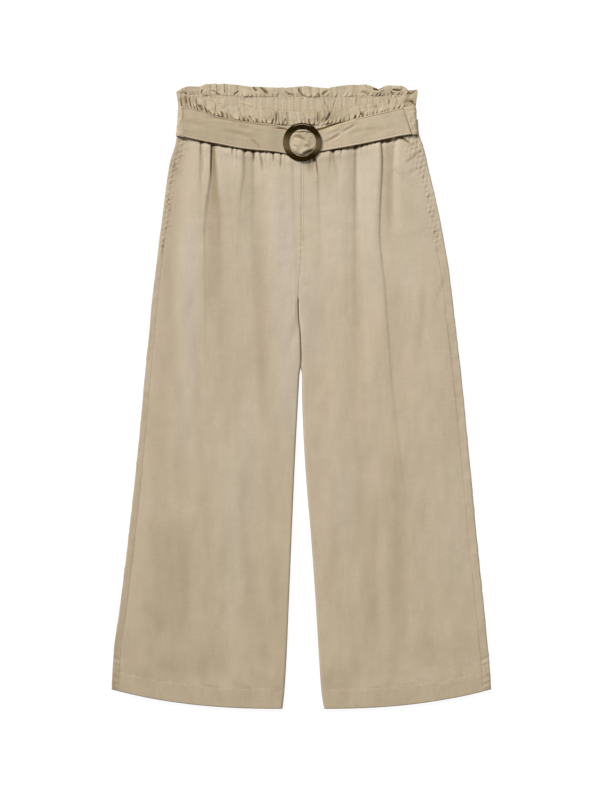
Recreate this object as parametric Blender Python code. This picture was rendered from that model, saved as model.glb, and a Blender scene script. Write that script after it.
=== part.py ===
"""Wide-leg culottes with a gathered paper-bag waist, a belt and a ring buckle, lying flat on their back.

Metres, +Z up. The waist is towards +Y and the wearer's left is towards +X. The front faces up and the back
lies on z = 0. Sizes below are in millimetres. A height is measured up the garment from the lowest point of
the hems.
"""

import math
from collections import namedtuple

import bmesh
import bpy
from mathutils import Vector

MM = 0.001

# Driving sizes
LENGTH = 940.0  # lowest point of the hems to the top of the back frill
WALL = 1.2  # cloth
BELT_WALL = 1.6  # two layers of cloth
GAP = 0.3  # between any two pieces
HEM_DEPTH = 28.0
HEM_WALL = 2.3  # the cloth turned up on itself

WAIST_CENTRE = -6.75
WAIST_HALF = 176.25
FRILL_PAST = 4.0  # how far a frill stands out past the band at each side

BACK_SEAM = 885.0  # foot of the back band
BACK_STITCH = 918.5  # top of the back band, where its frill starts
BACK_RISE = 4.0  # how much higher that line is at the sides
FRONT_SEAM = 871.5  # the same lines on the front, at the sides
FRONT_STITCH = 905.0
FRONT_TOP = 925.0
DIP = 29.0  # how far the front waist sinks in the middle

BELT_FOOT = 860.5  # at the sides
BELT_HEAD = 904.0
BELT_FOOT_DIP = 25.5
PINCH_HEAD = 10.5  # how far the belt's edges draw in through the buckle
PINCH_FOOT = 1.0

RING_HEIGHT = 851.0
RING_OUTER = 28.5
RING_INNER = 20.5
RING_THICK = 4.5
BAR_WIDTH = 7.0
BAR_THICK = 2.6

# Undersides of the stacked layers at the waist
BACK_BED = BELT_WALL + GAP
GATHER = 1.5  # crest to trough of the gathers in a band
FRILL_WAVE = 4.6
FRONT_BED = BACK_BED + GATHER + WALL + GAP
BELT_BED = FRONT_BED + GATHER + WALL + GAP
RING_BED = BELT_BED + BELT_WALL + GAP
BELT_TURN = (BELT_BED + BELT_WALL) / 2  # radius of the belt's outer face where it turns round the side
PITCH = 15.0  # from one gather to the next
FRILL_PITCH = 21.0

# Where the cut edges of the legs lie. right_ and left_ are the wearer's; x grows towards the wearer's left.
Section = namedtuple("Section", "height right_outer right_inner left_inner left_outer")
SECTIONS = (
    Section(890, -183.0, -0.2, 0.2, 169.5),
    Section(857, -184.5, -0.2, 0.2, 171.5),
    Section(841, -191.0, -0.2, 0.2, 183.0),
    Section(820, -197.5, -0.2, 0.2, 188.5),
    Section(705, -213.0, -0.5, -0.1, 213.0),
    Section(616, -225.0, -5.1, -4.7, 226.0),
    Section(560, -230.5, -2.2, -1.2, 231.5),
    Section(508, -235.8, -2.3, -0.9, 237.8),
    Section(435, -242.0, -7.0, 1.0, 245.0),
    Section(255, -261.0, -16.5, 13.0, 262.3),
    Section(75, -283.0, -24.5, 25.8, 281.0),
    Section(25, -285.2, -27.3, 29.0, 285.0),
    Section(0, -285.5, -33.0, 35.0, 285.5),
)

# Undersides of the cloth where it is flat, going up the garment. The back lies on z = 0 as far as the belt,
# which passes beneath it, and the front lies on the back.
Bed = namedtuple("Bed", "height lift")
FRONT_BEDS = (
    Bed(0, HEM_WALL + GAP),
    Bed(HEM_DEPTH + 6, HEM_WALL + GAP),
    Bed(HEM_DEPTH + 26, WALL + GAP),
    Bed(800, WALL + GAP),
    Bed(838, FRONT_BED),
    Bed(900, FRONT_BED),
)
BACK_BEDS = (Bed(0, 0.0), Bed(834, 0.0), Bed(856, BACK_BED), Bed(900, BACK_BED))

# Long folds of the front. depth is above (+) or below (-) the cloth round it, and each edge is a line from
# the waist to the height where the fold has died away.
Fold = namedtuple("Fold", "depth head foot head_from head_to foot_from foot_to")
FOLDS = (
    Fold(-1.8, 862, 420, -139, -131, -162, -113),
    Fold(-1.6, 862, 380, -88, -74, -100, -52),
    Fold(-1.0, 862, 640, -18, -10, -14, -4),
    Fold(-1.2, 862, 700, 14, 22, 18, 27),
    Fold(-1.3, 862, 740, 41, 47, 36, 58),
    Fold(1.0, 866, 150, 81, 119, 92, 166),
    Fold(-1.5, 866, 560, 123, 137, 128, 146),
    Fold(-0.9, 500, 60, -84, -56, -92, -64),
    Fold(-0.9, 480, 60, 74, 88, 92, 110),
)
FOLD_EDGE = 5.0  # how wide the slope at a fold's edge is
FULLNESS = 1.8  # how far the front stands off the back at the folds
PUFF = 0.5  # and how much further between its seams

CLOTH_COLOUR = (0.515, 0.423, 0.301, 1.0)
HORN_COLOUR = (0.085, 0.062, 0.035, 1.0)


def clear_scene():
    for old in list(bpy.data.objects):
        bpy.data.objects.remove(old)


def make_material(name, colour, roughness):
    material = bpy.data.materials.new(name)
    material.use_nodes = True
    shader = material.node_tree.nodes["Principled BSDF"]
    shader.inputs["Base Color"].default_value = colour
    shader.inputs["Roughness"].default_value = roughness
    shader.inputs["Metallic"].default_value = 0.0
    return material


def place(x, height, lift):
    """A point in metres, with the origin under the middle of the garment."""
    return Vector((x * MM, (height - LENGTH / 2) * MM, lift * MM))


def mix(a, b, share):
    return a + (b - a) * share


def ease(share):
    """0 to 1, with level ends."""
    share = min(1.0, max(0.0, share))
    return share * share * (3 - 2 * share)


def read(table, column, height):
    """A column of a table at any height, on a smooth line through its rows."""
    rows = sorted(table)
    heights = [row.height for row in rows]
    values = [getattr(row, column) for row in rows]
    if height <= heights[0]:
        return values[0]
    if height >= heights[-1]:
        return values[-1]
    k = next(i for i in range(1, len(rows)) if height <= heights[i])
    slopes = [
        0.0
        if i in (0, len(rows) - 1) or (values[i + 1] - values[i]) * (values[i] - values[i - 1]) <= 0
        else (values[i + 1] - values[i - 1]) / (heights[i + 1] - heights[i - 1])
        for i in (k - 1, k)
    ]
    span = heights[k] - heights[k - 1]
    s = (height - heights[k - 1]) / span
    return (
        values[k - 1] * (1 + 2 * s) * (1 - s) ** 2
        + slopes[0] * span * s * (1 - s) ** 2
        + values[k] * s * s * (3 - 2 * s)
        + slopes[1] * span * s * s * (s - 1)
    )


def make_cloth(name, columns, rows, faces, material):
    """A closed wall of cloth: a grid whose points faces(across, along) puts on its outer and inner face."""
    mesh = bmesh.new()
    bmesh.ops.create_grid(mesh, x_segments=columns, y_segments=rows, size=0.5)
    outer = list(mesh.verts)
    extruded = bmesh.ops.extrude_face_region(mesh, geom=mesh.faces[:])["geom"]
    inner = [v for v in extruded if isinstance(v, bmesh.types.BMVert)]
    for side, points in enumerate((outer, inner)):
        for point in points:
            point.co = faces(point.co.x + 0.5, point.co.y + 0.5)[side]
    bmesh.ops.recalc_face_normals(mesh, faces=mesh.faces[:])
    data = bpy.data.meshes.new(name)
    mesh.to_mesh(data)
    mesh.free()
    made = bpy.data.objects.new(name, data)
    made.data.materials.append(material)
    bpy.context.scene.collection.objects.link(made)
    return made


# Lines that several pieces share


def waist_share(x):
    """-1 at the right side of the waist, 1 at the left, and a little more out to the frills' ends."""
    return max(-1.02, min(1.02, (x - WAIST_CENTRE) / WAIST_HALF))


def sink(x):
    """1 in the middle of the front waist, 0 at its sides."""
    return 1 - waist_share(x) ** 2


def hem_line(x):
    """Height of the hem, which curves up towards the side seams."""
    share = max(0.0, (abs(x) - 33) / 252)
    return 0.5 + 29 * share**2.3


def front_seam(x):
    return FRONT_SEAM - DIP * sink(x)


def front_stitch(x):
    return FRONT_STITCH - DIP * sink(x)


def back_stitch(x):
    return BACK_STITCH + BACK_RISE * waist_share(x) ** 2


def gather(x, pitch):
    """0 in a trough of the gathers and 1 on a crest, unevenly spaced."""
    turns = x / pitch + 0.22 * math.sin(x / 31) + 0.13 * math.sin(x / 12.7 + 1)
    return 0.5 - 0.5 * math.cos(2 * math.pi * turns)


def fold_lift(x, height):
    """How far the long folds raise or lower the front."""
    lift = 0.0
    for fold in FOLDS:
        down = (fold.head - height) / (fold.head - fold.foot)
        if not 0 <= down <= 1:
            continue
        low, high = mix(fold.head_from, fold.foot_from, down), mix(fold.head_to, fold.foot_to, down)
        inside = ease((x - low) / FOLD_EDGE + 0.5) * ease((high - x) / FOLD_EDGE + 0.5)
        lift += fold.depth * inside * ease(2.2 * (1 - down)) * ease(12 * down + 0.2)
    return lift


# Pieces


def panel_point(side, head_at, across, along):
    """x and height of a point of a leg panel: across from its inner edge out, along from hem to waist."""
    height = along * head_at(0)
    for _ in range(3):
        x = mix(read(SECTIONS, side + "_inner", height), read(SECTIONS, side + "_outer", height), across)
        height = mix(hem_line(x), head_at(x), along)
    return x, height


def stations(marks, along):
    """Spreads a grid's even rows over the given marks."""
    at = along * (len(marks) - 1)
    k = min(int(at), len(marks) - 2)
    return mix(marks[k], marks[k + 1], at - k)


# The panels' rows as shares of the way from hem to waist, closest at the hem's turning and under the belt
HEM_ROWS = (0, 0.012, 0.024, 0.031, 0.036)
FRONT_ROWS = HEM_ROWS + (0.07, 0.14, 0.22, 0.3, 0.4, 0.5, 0.58, 0.64, 0.7, 0.76, 0.82, 0.88)
FRONT_ROWS += (0.92, 0.945, 0.965, 0.985, 1)
BACK_ROWS = HEM_ROWS + (0.1, 0.2, 0.3, 0.4, 0.5, 0.6, 0.7, 0.8, 0.88, 0.94, 0.955, 0.97, 1)


def hem_share(x, height):
    """1 where the cloth is doubled by the hem's turning, 0 above it."""
    return ease((HEM_DEPTH + 3 - (height - hem_line(x))) / 6)


def make_front(name, side, columns, cloth):
    def faces(across, along):
        x, height = panel_point(side, lambda at: front_seam(at) - GAP, across, stations(FRONT_ROWS, along))
        hem = hem_share(x, height)
        wall = mix(WALL, HEM_WALL, hem)
        top = read(FRONT_BEDS, "lift", height - hem_line(x) * (height < 100)) + wall
        fullness = FULLNESS * ease((height - 60) / 200) * math.sin(math.pi * across) ** 0.4
        rise = max(0.0, fullness + fold_lift(x, height) * ease((height - 60) / 200))
        top += (rise + PUFF * math.sin(math.pi * across) ** 0.5) * (1 - hem)
        if height > 810:
            top = min(top, BELT_BED - GAP)
        return place(x, height, top), place(x, height, top - wall)

    return make_cloth(name, columns, len(FRONT_ROWS) - 1, faces, cloth)


def make_back(name, side, columns, cloth):
    def faces(across, along):
        x, height = panel_point(side, lambda at: BACK_SEAM - GAP, across, stations(BACK_ROWS, along))
        bed = read(BACK_BEDS, "lift", height)
        raised = GATHER * gather(x, 2 * PITCH) * ease((height - 845) / 30)
        wall = mix(WALL, HEM_WALL, hem_share(x, height))
        return place(x, height, bed + raised + wall), place(x, height, bed + raised)

    return make_cloth(name, columns, len(BACK_ROWS) - 1, faces, cloth)


def make_band(name, foot_at, head_at, bed, past, crest_at, pitch, rows, cloth):
    """A gathered strip across the waist. crest_at(x, along) is the height of its gathers."""
    low, high = WAIST_CENTRE - WAIST_HALF - past, WAIST_CENTRE + WAIST_HALF + past
    columns = round(4 * (high - low) / pitch)

    def faces(across, along):
        x = mix(low, high, across)
        height = mix(foot_at(x), head_at(x), along)
        lift = bed + crest_at(x, along) * gather(x, pitch)
        return place(x, height, lift + WALL), place(x, height, lift)

    return make_cloth(name, columns, rows, faces, cloth)


def make_bands(cloth):
    def even(x, along):
        return GATHER

    def back_wave(x, along):
        return mix(GATHER, FRILL_WAVE, along * ease((1 - abs(waist_share(x))) / 0.3))

    def front_wave(x, along):
        return mix(GATHER, FRILL_WAVE - 1, along)

    def back_foot(x):
        return BACK_SEAM

    def back_frill_foot(x):
        return back_stitch(x) + GAP

    def front_frill_foot(x):
        return front_stitch(x) + GAP

    def back_top(x):
        return LENGTH - 0.5 - 11 * abs(waist_share(x)) ** 10 + 0.5 * math.cos(x / 9)

    def front_top(x):
        return FRONT_TOP - DIP * sink(x)

    make_band("waistband_back", back_foot, back_stitch, BACK_BED, 0, even, PITCH, 2, cloth)
    make_band("waistband_front", front_seam, front_stitch, FRONT_BED, 0, even, PITCH, 2, cloth)
    for name, foot, top, bed, wave in (
        ("frill_back", back_frill_foot, back_top, BACK_BED, back_wave),
        ("frill_front", front_frill_foot, front_top, FRONT_BED, front_wave),
    ):
        make_band(name, foot, top, bed, FRILL_PAST, wave, FRILL_PITCH, 3, cloth)


def belt_edges(x):
    """Heights of the belt's lower and upper edge."""
    pinch = ease((52 - abs(x)) / 34)
    sunk = max(0.0, sink(x))
    foot = BELT_FOOT - BELT_FOOT_DIP * sunk - PINCH_FOOT * pinch
    head = BELT_HEAD - DIP * sunk - PINCH_HEAD * pinch
    return foot, head


BELT_TUCK = 14.0  # how far the belt's front piece reaches in under the back
BAR_ZONE = 16.0  # how far either side of the bar the belt's columns are close together
BAR_SLOPE_OUT = 13.5  # where the belt starts to rise over the bar, and how far in it takes to get there
BAR_SLOPE = 8.5
OVER_BAR = BAR_THICK + 0.9

# A column of the belt: where its outer face is, and which way is out
Station = namedtuple("Station", "x lift out_x out_z")


def spread(start, end, steps):
    return [mix(start, end, k / steps) for k in range(steps + 1)]


def turn_station(end, way, degrees):
    """Where the belt turns round the side. -90 is at the underside and 90 on top."""
    out_x, out_z = way * math.cos(math.radians(degrees)), math.sin(math.radians(degrees))
    return Station(end + BELT_TURN * out_x, BELT_TURN * (1 + out_z), out_x, out_z)


def belt_stations():
    """The belt's columns from its right end under the back, over the front and the bar, to its left end."""
    right, left = WAIST_CENTRE - WAIST_HALF, WAIST_CENTRE + WAIST_HALF
    across = spread(right, -BAR_ZONE, 12)[1:-1]
    across += spread(-BAR_ZONE, BAR_ZONE, 9)
    across += spread(BAR_ZONE, left, 12)[1:-1]
    columns = [Station(right + BELT_TUCK, 0.0, 0.0, -1.0)]
    columns += [turn_station(right, -1, degrees) for degrees in spread(-90, 90, 5)]
    for x in across:
        over_bar = ease((BAR_SLOPE_OUT - abs(x)) / BAR_SLOPE)
        columns.append(Station(x, BELT_BED + BELT_WALL + over_bar * OVER_BAR, 0.0, 1.0))
    columns += [turn_station(left, 1, degrees) for degrees in spread(90, -90, 5)]
    columns.append(Station(left - BELT_TUCK, 0.0, 0.0, -1.0))
    return columns


def make_belt(cloth):
    columns = belt_stations()

    def faces(across, along):
        at = columns[round(across * (len(columns) - 1))]
        foot, head = belt_edges(at.x) if at.out_z > 0 else (BELT_FOOT, BELT_HEAD)
        height = mix(foot, head, along)
        inner = place(at.x - BELT_WALL * at.out_x, height, at.lift - BELT_WALL * at.out_z)
        return place(at.x, height, at.lift), inner

    make_cloth("belt_front", len(columns) - 1, 2, faces, cloth)
    inside = WAIST_HALF - BELT_TUCK - GAP

    def back_faces(across, along):
        x = WAIST_CENTRE + mix(-inside, inside, across)
        height = mix(BELT_FOOT, BELT_HEAD, along)
        return place(x, height, BELT_WALL), place(x, height, 0)

    make_cloth("belt_back", 1, 1, back_faces, cloth)


LOOP_WALL = 1.0
LOOP_TUCK = 40.0  # how far round the side's underside a loop goes, in degrees below level
LOOP_ON_TOP = 3  # how many of a loop's columns lie on the front, before the turn
LOOP_COLUMNS = 9

# way is -1 at the wearer's right side and 1 at the left, and a reach is how far the loop covers the front
Loop = namedtuple("Loop", "name way foot_reach head_reach")
LOOPS = (Loop("belt_loop_right", -1, 8.0, 8.0), Loop("belt_loop_left", 1, 6.0, 17.5))

# up is 0 at the belt's foot and 1 at its head, past is added to that, and drop is the share of the belt's
# own thickness by which the loop closes in past the belt's edge
LoopRow = namedtuple("LoopRow", "up past drop")
LOOP_ROWS = (
    LoopRow(0, -2.2, 0.4),
    LoopRow(0, -1.3, 0.3),
    LoopRow(0, -0.4, 0.0),
    LoopRow(0.33, 0.0, 0.0),
    LoopRow(0.67, 0.0, 0.0),
    LoopRow(1, 0.4, 0.0),
    LoopRow(1, 0.9, 0.1),
)


def make_loop(loop, cloth):
    """A strip over the belt where it turns round the side seam."""
    end = WAIST_CENTRE + loop.way * WAIST_HALF

    def faces(across, along):
        row = LOOP_ROWS[round(along * (len(LOOP_ROWS) - 1))]
        at = across * LOOP_COLUMNS
        radius = BELT_TURN + GAP - row.drop * (BELT_WALL + GAP)
        reach = mix(loop.foot_reach, loop.head_reach, row.up)
        points = []
        for offset in (LOOP_WALL, 0.0):
            if at <= LOOP_ON_TOP:
                x = end - loop.way * reach * (1 - at / LOOP_ON_TOP)
                lift = BELT_TURN + radius + offset
            else:
                turned = (at - LOOP_ON_TOP) / (LOOP_COLUMNS - LOOP_ON_TOP)
                angle = math.radians(mix(90, -LOOP_TUCK, turned))
                x = end + loop.way * (radius + offset) * math.cos(angle)
                lift = BELT_TURN + (radius + offset) * math.sin(angle)
            foot, head = belt_edges(x)
            points.append(place(x, mix(foot, head, row.up) + row.past, lift))
        return points

    return make_cloth(loop.name, LOOP_COLUMNS, len(LOOP_ROWS) - 1, faces, cloth)


def make_ring(horn):
    """The buckle: a flattened ring, with a bar across it that the belt passes over."""
    mesh = bmesh.new()
    middle = (RING_OUTER + RING_INNER) / 2
    made = bmesh.ops.create_circle(mesh, segments=10, radius=1.0)["verts"]
    for point in made:
        across, up = point.co.x, point.co.y
        point.co = Vector((middle + across * (RING_OUTER - RING_INNER) / 2, 0, up * RING_THICK / 2)) * MM
    section = mesh.verts[:] + mesh.edges[:]
    bmesh.ops.spin(mesh, geom=section, cent=(0, 0, 0), axis=(0, 0, 1), angle=2 * math.pi, steps=36)
    bmesh.ops.remove_doubles(mesh, verts=mesh.verts[:], dist=0.00005)
    bmesh.ops.recalc_face_normals(mesh, faces=mesh.faces[:])
    data = bpy.data.meshes.new("ring_buckle")
    mesh.to_mesh(data)
    mesh.free()
    ring = bpy.data.objects.new("ring_buckle", data)
    ring.location = place(0, RING_HEIGHT, RING_BED + RING_THICK / 2)
    ring.data.materials.append(horn)
    bpy.context.scene.collection.objects.link(ring)
    ring.data.shade_smooth()

    reach = RING_INNER + 0.35 * (RING_OUTER - RING_INNER)
    foot = BELT_BED + 0.5
    bpy.ops.mesh.primitive_cube_add(size=1, location=place(0, RING_HEIGHT, foot + BAR_THICK / 2))
    bar = bpy.context.object
    bar.name = "bar_guide"
    bar.scale = (BAR_WIDTH * MM, 2 * reach * MM, BAR_THICK * MM)
    bpy.ops.object.transform_apply(location=False, rotation=False, scale=True)
    bar.hide_render = True
    bar.display_type = "WIRE"
    join = ring.modifiers.new("bar", "BOOLEAN")
    join.operation = "UNION"
    join.object = bar
    return ring


def main():
    clear_scene()
    cloth = make_material("cloth", CLOTH_COLOUR, 0.85)
    horn = make_material("horn", HORN_COLOUR, 0.3)
    make_back("back_right", "right", 16, cloth)
    make_back("back_left", "left", 16, cloth)
    make_front("front_right", "right", 20, cloth)
    make_front("front_left", "left", 20, cloth)
    make_bands(cloth)
    make_belt(cloth)
    for loop in LOOPS:
        make_loop(loop, cloth)
    make_ring(horn)


main()
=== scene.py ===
"""Wide-leg culottes of sand-coloured cloth, laid flat front up, with a gathered waist and a belt in a ring.

Sizes are in millimetres: x across it, height up from the hems' lowest point, and lift off the floor.
"""

import math
from collections import namedtuple

import bpy
import numpy as np
from mathutils import Matrix, Vector


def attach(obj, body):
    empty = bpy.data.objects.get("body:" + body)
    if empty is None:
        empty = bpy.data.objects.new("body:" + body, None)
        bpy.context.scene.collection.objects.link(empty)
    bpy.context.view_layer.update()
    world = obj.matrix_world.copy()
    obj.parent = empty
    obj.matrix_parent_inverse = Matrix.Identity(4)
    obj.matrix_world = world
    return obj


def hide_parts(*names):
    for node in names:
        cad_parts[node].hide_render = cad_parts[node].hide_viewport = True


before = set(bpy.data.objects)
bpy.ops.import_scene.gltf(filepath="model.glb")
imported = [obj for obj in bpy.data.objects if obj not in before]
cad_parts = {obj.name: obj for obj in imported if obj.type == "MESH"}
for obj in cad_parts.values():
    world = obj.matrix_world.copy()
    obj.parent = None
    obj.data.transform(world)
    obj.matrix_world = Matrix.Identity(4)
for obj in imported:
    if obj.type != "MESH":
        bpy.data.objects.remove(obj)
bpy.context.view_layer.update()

MM = 0.001
STITCH_PITCH = 3.2
STITCH_LENGTH = 2.5
STITCH_THICK = 0.5
LENGTH = 940.0
WALL = 0.9
FRILL_WALL = 0.7
LOOP_WALL = 0.8
GAP = 0.3  # between one layer of cloth and the next
HEM_DEPTH = 28.0
EDGE_LIFT = 2.2  # how high the fronts' outer edges lie, which is also how round they turn over
SIDE_LIFT = 3.3  # and how high they lie just inside the side seams, and at the hips
HIP_SIDE_LIFT = 6.2
POCKET_FOOT = 676  # the crinkles beside the pockets end here
SLIT_FOOT = 503  # and the legs lie closed above here, up to the crotch
PLAIN_SHADE = 0.15  # what the painted shade attribute holds where the cloth has neither painted shade nor painted light
DEEPEST_SHADE = 1.6  # how much painted shade leaves the cloth at its darkest

# The waist, as the frame has it
WAIST_CENTRE = -6.75
WAIST_HALF = 176.25
FRILL_FOOT_PAST = 1.5  # how far a frill's foot and its top edge pass the ends of the waist
FRILL_TOP_PAST = 5.0
DIP = 29.0
FRONT_SEAM = 871.5
FRONT_STITCH = 905.0
FRONT_TOP = 925.0
BACK_SEAM = 885.0
BACK_STITCH = 918.5
BACK_RISE = 4.0
BELT_FOOT = 860.5
BELT_HEAD = 904.0
CROTCH = 612.0

BELT_TOP = 10.6  # how high the belt's face lies off the floor
BELT_WALL = 1.7
BELT_WIDTH = 43.5
BELT_TUCK = 14.0  # how far each end runs under a side
BELT_LEAN = 3.6  # how far in the belt's and the loops' upper edges stand
ON_BAND = 7.9  # how low the belt's face can sink onto the band
RIM_X = 24.5  # where the belt passes under the rim
RING_X = 1
RING_HEIGHT = 850.2
RING_MIDDLE = 24.75  # radius to the middle of its rim
RING_RIM = 4.15  # half the rim's width
RING_LIFT = 10.4
RING_HALF_THICK = 1.5
RING_ROUND = 1.3  # radius of its rounded edges
BAR_DROP = 2.2  # how far the bar's middle lies below the ring's
BAR_WIDTH = 7
BAR_THICK = 1.8


def rows(kind, *values):
    """A table whose rows are of one kind."""
    return tuple(kind(*row) for row in values)


# Where the cut edges of the legs lie
Section = namedtuple("Section", "height right_outer right_inner left_inner left_outer")
SECTIONS = rows(
    Section,
    (890, -184, 0, 0, 174),
    (862, -187, 0, 0, 176.8),
    (847, -189.8, 0, 0, 182.3),
    (838, -192.6, 0, 0, 184.5),
    (826, -196.6, 0, 0, 187.6),
    (705, -213.4, -0.3, -0.3, 213.8),
    (616, -224.2, -4.9, -4.9, 227),
    (590, -226.7, -4.4, -4.4, 229.8),
    (560, -229.4, -1.4, -1.4, 233),
    (526, -233, -0.5, -0.5, 237.3),
    (513, -234.2, -1.2, -1.2, 238.9),
    (504, -235, -2.8, 0.7, 239.9),
    (480, -237.3, -4.2, 0.7, 242.2),
    (435, -241.3, -6.7, 1.9, 246.5),
    (350, -249.8, -10.9, 6.7, 254.8),
    (255, -260.3, -15, 14.6, 263.6),
    (150, -273.4, -19.4, 21.9, 274.4),
    (75, -283, -22.6, 26.4, 281.5),
    (25, -285.2, -25.8, 30, 285),
    (0, -285.5, -28.5, 34, 285.5),
)

# The belt's two edges. It dips in the middle, and rises a little faster to the wearer's left.
BeltPlace = namedtuple("BeltPlace", "x foot head")
BELT_COURSE = rows(
    BeltPlace,
    (-190, 861.5, 905.5),
    (-156, 853.5, 899.5),
    (-130, 848.5, 889.8),
    (-85, 840.2, 881.8),
    (-26, 834.2, 875),
    (-14, 830.5, 873),
    (14, 830.5, 871.5),
    (26, 836.4, 871.8),
    (47, 839.6, 878.2),
    (81, 845.6, 885.8),
    (125, 854.6, 895.8),
    (156, 860.8, 902.5),
    (180, 863.5, 906),
)

# The crumpled top edge of the back's frill
FRILL_TOP = (
    *((-188, 926.5), (-181, 931), (-172, 934.4), (-150, 934.8), (-142, 938.6), (-118, 938.8), (-75, 934.6)),
    *((-25, 932.9), (5, 935.2), (30, 932.8), (40, 932), (48, 934.4), (94, 937.8), (108, 934.2)),
    *((116, 930), (125, 935), (140, 936.2), (151, 935.2), (160, 928.8), (175, 930)),
)

# The height of the front's face off the floor where nothing folds it
Level = namedtuple("Level", "height lift")
FRONT_LEVELS = rows(
    Level,
    (0, 4.6),
    (40, 4.6),
    (90, 4.4),
    (300, 4.9),
    (600, 5.4),
    (740, 6.4),
    (800, 7.4),
    (830, 7.8),
    (862, 6.8),
    (900, 6.8),
)

# Folds that run down the fronts from the belt, each in order across its leg. course is (height, x) from its
# head to its foot. before and after are how high the cloth stands on the crease's -x and +x sides.
# groove is how deep the crease is and how much shade is painted into it; rise is the share of its length
# over which it comes in.
Fold = namedtuple("Fold", "course before after groove width_head width_foot rise")
RIGHT_FOLDS = (
    Fold(((864, -151), (806, -151), (755, -150)), 0.5, -0.2, 1.9, 1.0, 3, 0.04),
    Fold(
        ((864, -134), (816, -134), (782, -139), (741, -144.5), (675, -151), (592, -157), (440, -160)),
        1.2, -1.3, 0.5, 1.0, 36, 0.02,
    ),
    Fold(
        ((864, -131.5), (841, -131), (810, -128), (779, -125.5), (737, -122), (592, -119), (440, -116)),
        -2.0, -1.2, 0.9, 1.1, 9, 0.02,
    ),
    Fold(((864, -86), (810, -86), (772, -91), (720, -95), (670, -98)), 0.9, 0.1, 1.3, 1.2, 6, 0.04),
    Fold(
        ((862, -76), (842, -74), (812, -72), (740, -71), (684, -68.5))
        + ((629, -66), (531, -62), (456, -55), (280, -30)),
        -1.6, -0.7, 0.8, 1.3, 15, 0.02,
    ),
    Fold(
        ((850, -15), (824, -14.5), (767, -12.7), (730, -11.4), (640, -7), (420, -6)),
        1.7, 0.5, 0.1, 6, 15, 0.08,
    ),
)
LEFT_FOLDS = (
    Fold(((846, 17), (789, 17)), -1.8, 0.2, 0.9, 1.4, 2.4, 0.06),
    Fold(((850, 20), (829, 21), (800, 25), (755, 26), (736, 27), (600, 27)), 0.4, 0.1, 1.0, 1.1, 6, 0.04),
    Fold(((856, 46), (838, 44), (795, 41)), 0.5, -0.1, 1.2, 1.1, 2.2, 0.06),
    Fold(((856, 48), (835, 49), (800, 54), (770, 58)), -0.9, 0.2, 1.3, 1.1, 4, 0.06),
    Fold(
        ((862, 81), (704, 81.5), (531, 84), (426, 85), (314, 91), (231, 91), (134, 99)),
        -1.5, -1.4, 1.1, 1.1, 11, 0.02,
    ),
    Fold(
        ((864, 118.5), (823, 121), (755, 118), (720, 117), (629, 125))
        + ((486, 136), (374, 148), (291, 155), (200, 157)),
        2.0, 0.0, 1.4, 1.1, 15, 0.02,
    ),
    Fold(((864, 141), (830, 138), (800, 136.5), (750, 137), (680, 135)), -2.2, 0.2, 0.5, 1.4, 6, 0.03),
)

# Short creases in any direction, from one end to the other. bow is how far the middle stands to its left.
# depth is below 0 for a groove and above it for a ridge.
Crease = namedtuple("Crease", "x0 height0 x1 height1 bow depth width")
FRONT_CREASES = rows(
    Crease,
    (-73.5, 856, -70.5, 818, 0, -2, 1.4),
    (-66, 848, -57, 804, 1.5, -1.4, 1.6),
    (-43, 848, -41, 818, 0, -1.8, 1.3),
    (-30, 848, -30.5, 806, 0, -1.4, 1.5),
    (16.5, 832, 19.5, 820, 0, -2.4, 1.6),
    (21.5, 828, 24.5, 800, 0, -1.1, 0.9),
    (-104, 854, -103, 828, 0, -1.1, 1.4),
    (104, 864, 105, 840, 0, -0.8, 1.4),
    (70, 856, 69, 836, 0, -0.9, 1.4),
    (137, 812, 150, 798, 0, -0.6, 3),
    (160, 820, 176, 831, 0, 0.8, 3),
    (-40, 836, -36, 620, 2, 0.8, 11),
    (-182, 859, -166, 851, -1, -1.3, 1.1),
    (141, 862, 166, 846, 1, -2.6, 2),
    (156, 817, 176, 832, 1.5, -1.2, 2.4),
    (-134, 864, -136, 790, 0, -2.4, 1.2),
    (158, 800, 186, 816, 1.5, -0.9, 3),
    (160, 822, 184, 840, 1, -1, 1.8),
    (-148, 846, -147, 800, 0, -0.8, 1),
    (146, 806, 186, 774, -3, -0.8, 5.5),
    (160, 842, 174, 850, 1, -1.1, 1.6),
    (-3, 641, 28, 636, -1, -0.7, 1.7),
    (-18, 541, -2, 597, -1.5, -1, 5),
    (-8.2, 612, -7.6, 580, 0, -0.6, 0.9),
    (217, 665, 198, 612, 4, -1, 2.6),
    (-207, 706, -213, 672, 1, -0.4, 2.6),
    (-200, 822, -178, 796, 2, -0.6, 3.6),
    (-205, 632, -172, 400, 6, -1.5, 9),
    (-176, 440, -158, 84, -5, -1.6, 12),
    (-250, 160, -196, 92, 6, -1, 8),
    (-82, 250, -44, 46, 4, -1.6, 10),
    (216, 190, 262, 112, -6, -1, 9),
    (58, 300, 40, 120, 5, -0.7, 10),
    (118, 330, 116, 60, -3, -1.4, 10),
    (-94, 430, -92, 60, 0, 1.2, 12),
    (186, 640, 174, 520, 3, -0.9, 6),
    (-122, 330, -120, 190, 0, 0.8, 9),
)
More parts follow.
